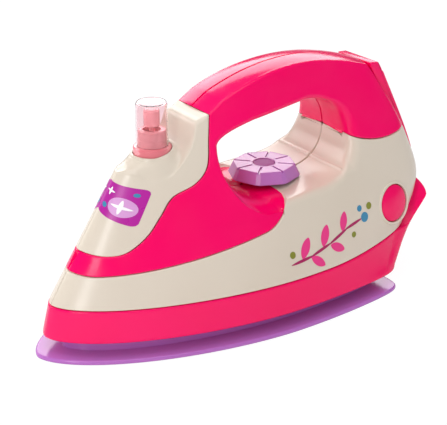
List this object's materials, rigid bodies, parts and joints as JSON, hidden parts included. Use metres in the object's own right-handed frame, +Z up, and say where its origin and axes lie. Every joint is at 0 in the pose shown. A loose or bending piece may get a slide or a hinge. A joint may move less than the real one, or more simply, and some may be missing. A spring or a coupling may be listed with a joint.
{
  "type": "toy iron",
  "caption": "Play steam iron in hot pink and cream with a lilac soleplate, a dial, side buttons and a press sprayer under a clear cap",
  "frame": {"origin": "middle of the soleplate's flat underside", "axes": "+Z up, -X toward the pointed nose, +X toward the heel, -Y the left side as one holds it"},
  "size_m": [0.2222, 0.0974, 0.1244],
  "materials": {
    "lilac_plastic": "glossy moulded plastic",
    "pink_plastic": "glossy moulded plastic",
    "cream_plastic": "glossy moulded plastic",
    "steel": "zinc plated",
    "white_plastic": "matte",
    "cell_jacket": "satin",
    "violet_plastic": "glossy moulded plastic",
    "milky_plastic": "translucent moulded plastic",
    "rose_plastic": "translucent pink plastic",
    "clear_plastic": "clear moulded plastic",
    "dark_plastic": "matte",
    "board": "satin"
  },
  "bodies": {
    "housing": {"soleplate": "lilac_plastic", "base_plate": "pink_plastic", "skirt": "pink_plastic", "side_panel_left": "cream_plastic", "side_panel_right": "cream_plastic", "nose_cover": "cream_plastic", "handle_left": "pink_plastic", "handle_right": "pink_plastic", "battery_tray": "white_plastic", "cells": "cell_jacket", "contact_plates": "steel", "switches": "dark_plastic", "circuit_board": "board", "speaker": "dark_plastic", "sole_screws": "steel"},
    "dial": {"dial": "lilac_plastic", "dial_cap": "violet_plastic", "dial_retainer": "steel", "dial_screw": "steel"},
    "bottle": {"bottle": "milky_plastic", "neck_ring": "pink_plastic", "pump_collar": "rose_plastic", "pump_body": "white_plastic", "pump_spring": "steel", "dip_tube": "milky_plastic"},
    "spray_head": {"spray_head": "rose_plastic"},
    "spray_cap": {"spray_cap": "clear_plastic"},
    "button_left": {"button_left": "pink_plastic"},
    "button_right": {"button_right": "pink_plastic"},
    "battery_door": {"battery_door": "pink_plastic", "door_screw": "steel"}
  },
  "joints": [
    {"name": "dial_turn", "type": "hinge", "parent": "housing", "child": "dial", "pos_m": [0.0354, 0, 0.0625], "axis": [0, 0, 1], "continuous": true},
    {"name": "bottle_lift", "type": "slide", "parent": "housing", "child": "bottle", "axis": [0, 0, 1], "range_m": [0, 0.06]},
    {"name": "head_press", "type": "slide", "parent": "bottle", "child": "spray_head", "axis": [0, 0, -1], "range_m": [0, 0.0035], "stiffness_N_per_m": 800, "springref_m": -0.001, "deforming": ["pump_spring"]},
    {"name": "cap_lift", "type": "slide", "parent": "bottle", "child": "spray_cap", "axis": [0, 0, 1], "range_m": [0, 0.03]},
    {"name": "button_left_press", "type": "slide", "parent": "housing", "child": "button_left", "axis": [-0.1453, 0.9717, -0.1864], "range_m": [0, 0.0015], "stiffness_N_per_m": 900, "springref_m": -0.0005},
    {"name": "button_right_press", "type": "slide", "parent": "housing", "child": "button_right", "axis": [-0.1453, -0.9717, -0.1864], "range_m": [0, 0.0015], "stiffness_N_per_m": 900, "springref_m": -0.0005},
    {"name": "door_lift", "type": "slide", "parent": "housing", "child": "battery_door", "axis": [0.8578, 0, 0.514], "range_m": [0, 0.03]}
  ]
}
